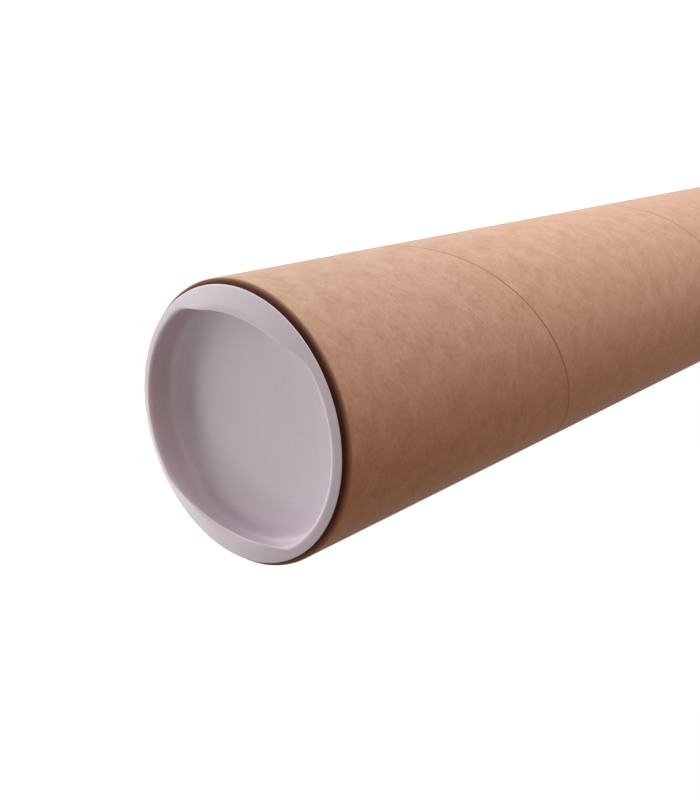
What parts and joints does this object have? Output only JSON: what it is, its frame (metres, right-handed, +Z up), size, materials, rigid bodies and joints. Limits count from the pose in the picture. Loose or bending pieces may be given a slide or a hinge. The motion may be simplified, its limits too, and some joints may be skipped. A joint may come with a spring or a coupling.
{
  "type": "mailing tube",
  "caption": "Spiral-wound cardboard mailing tube closed at each end by a push-in plastic cap with a recessed floor and a drawn-in lip.",
  "frame": {"origin": "middle of the lower cap's crown, on the surface that the crown stands on", "axes": "+Z up along the tube's axis towards the cap shown in the picture; -Y towards the picture's camera"},
  "size_m": [0.0826, 0.0826, 0.3872],
  "materials": {
    "kraft_board": "matte kraft paper",
    "cap_plastic": "white moulded polyethylene, satin"
  },
  "bodies": {
    "tube": {"tube": "kraft_board"},
    "front_cap": {"front_cap": "cap_plastic"},
    "rear_cap": {"rear_cap": "cap_plastic"}
  },
  "joints": [
    {"name": "front_cap_pull", "type": "slide", "parent": "tube", "child": "front_cap", "axis": [0, 0, 1], "range_m": [0, 0.05]},
    {"name": "rear_cap_pull", "type": "slide", "parent": "tube", "child": "rear_cap", "axis": [0, 0, -1], "range_m": [0, 0.05]}
  ]
}
